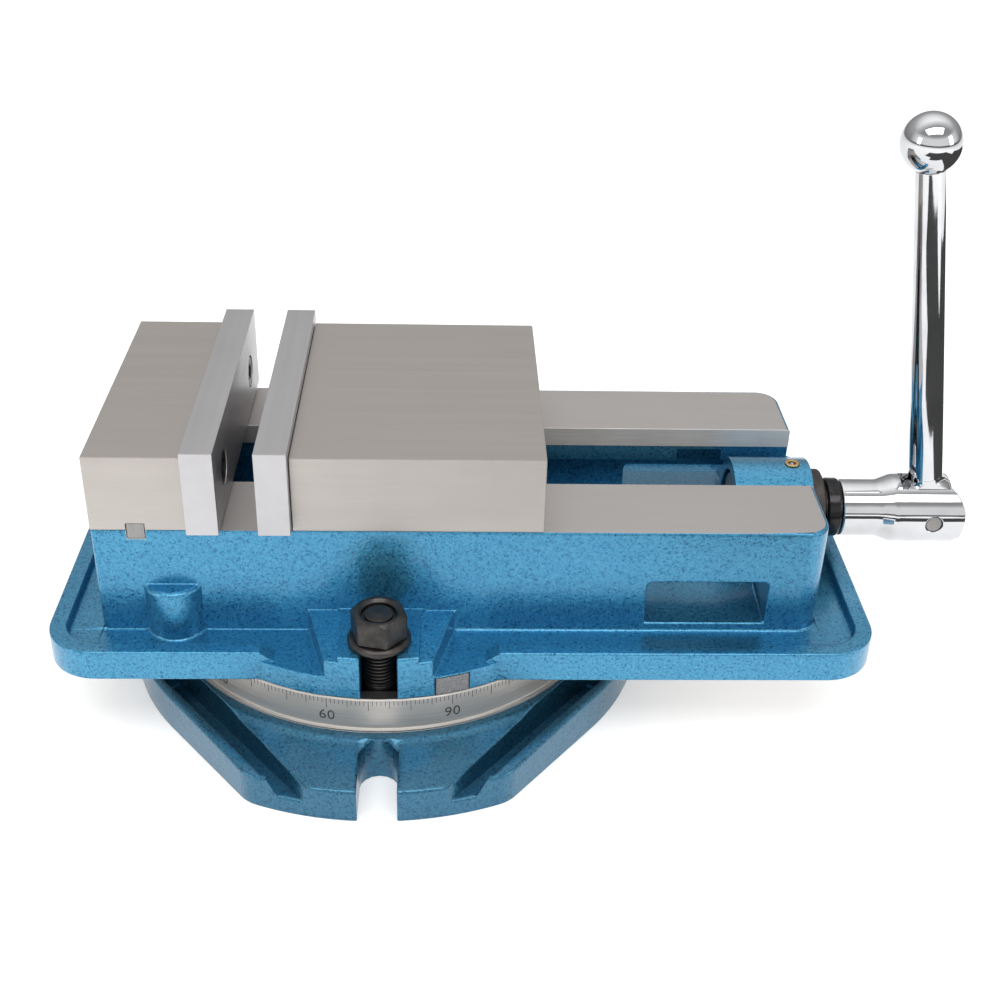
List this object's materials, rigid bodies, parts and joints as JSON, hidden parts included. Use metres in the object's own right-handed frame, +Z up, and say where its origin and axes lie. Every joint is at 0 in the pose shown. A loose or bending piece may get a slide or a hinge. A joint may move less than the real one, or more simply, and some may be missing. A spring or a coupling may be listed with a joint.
{
  "type": "machine vise",
  "caption": "Milling machine vise: ground steel jaws on a painted bed with a coolant tray, a graduated swivel base and a folding crank handle.",
  "frame": {"origin": "on the swivel axis, in the plane of the table the base stands on", "axes": "+X along the lead screw towards the crank handle, +Y towards the rear, +Z up"},
  "size_m": [0.4595, 0.3014, 0.2901],
  "materials": {
    "paint": "blue hammertone enamel over cast iron",
    "ground_steel": "fine ground",
    "hard_steel": "hardened and ground",
    "plain_steel": "machined",
    "black_oxide": "black oxide",
    "chrome": "polished",
    "brass": "satin",
    "bronze": "turned"
  },
  "bodies": {
    "swivel_base": {"swivel_base": "paint"},
    "vise_body": {"vise_body": "paint", "index_plate": "plain_steel", "oil_cup": "brass", "oil_cup_ball": "plain_steel", "fixed_jaw": "ground_steel", "fixed_jaw_key": "plain_steel", "fixed_jaw_plate": "hard_steel", "fixed_plate_screw_front": "black_oxide", "fixed_plate_screw_rear": "black_oxide", "fixed_jaw_bolt_front": "black_oxide", "fixed_jaw_bolt_rear": "black_oxide", "t_bolt_front": "black_oxide", "t_bolt_rear": "black_oxide", "clamp_washer_front": "black_oxide", "clamp_washer_rear": "black_oxide", "thrust_race_fixed": "hard_steel", "screw_bush": "bronze"},
    "moving_jaw": {"moving_jaw": "ground_steel", "moving_jaw_plate": "hard_steel", "moving_plate_screw_front": "black_oxide", "moving_plate_screw_rear": "black_oxide", "jaw_nut": "black_oxide", "jaw_half_ball": "hard_steel", "jaw_set_screw": "black_oxide"},
    "lead_screw": {"lead_screw": "plain_steel", "thrust_race_turning": "hard_steel", "end_play_nut": "black_oxide", "lock_nut": "black_oxide"},
    "ball_cage": {"thrust_ball_cage": "brass"},
    "handle_hub": {"handle_hub": "chrome", "handle_pin": "plain_steel"},
    "handle_arm": {"handle_arm": "chrome", "handle_ball": "chrome"},
    "clamp_nut_front": {"clamp_nut_front": "black_oxide"},
    "clamp_nut_rear": {"clamp_nut_rear": "black_oxide"}
  },
  "joints": [
    {"name": "swivel", "type": "hinge", "parent": "swivel_base", "child": "vise_body", "pos_m": [0, 0, 0], "axis": [0, 0, 1], "continuous": true},
    {"name": "screw_turn", "type": "hinge", "parent": "vise_body", "child": "lead_screw", "pos_m": [0, 0, 0.08], "axis": [1, 0, 0], "range_deg": [-1296, 7704]},
    {"name": "jaw_slide", "type": "slide", "parent": "vise_body", "child": "moving_jaw", "axis": [1, 0, 0], "range_m": [-0.01801, 0.10701]},
    {"name": "cage_turn", "type": "hinge", "parent": "vise_body", "child": "ball_cage", "pos_m": [0, 0, 0.08], "axis": [1, 0, 0], "range_deg": [-649, 3853]},
    {"name": "handle_pull", "type": "slide", "parent": "lead_screw", "child": "handle_hub", "axis": [1, 0, 0], "range_m": [0, 0.016]},
    {"name": "arm_fold", "type": "hinge", "parent": "handle_hub", "child": "handle_arm", "pos_m": [0.2843, 0, 0.08], "axis": [0, 1, 0], "range_deg": [0, 99.4]},
    {"name": "clamp_nut_front_turn", "type": "hinge", "parent": "vise_body", "child": "clamp_nut_front", "pos_m": [0, -0.0995, 0.07], "axis": [0, 0, 1], "range_deg": [0, 720]},
    {"name": "clamp_nut_rear_turn", "type": "hinge", "parent": "vise_body", "child": "clamp_nut_rear", "pos_m": [0, 0.0995, 0.07], "axis": [0, 0, 1], "range_deg": [0, 720]}
  ],
  "couplings": [
    {"joint": "jaw_slide", "follows": "screw_turn", "m_per_rad": 0.00079577},
    {"joint": "cage_turn", "follows": "screw_turn", "ratio": 0.5}
  ]
}
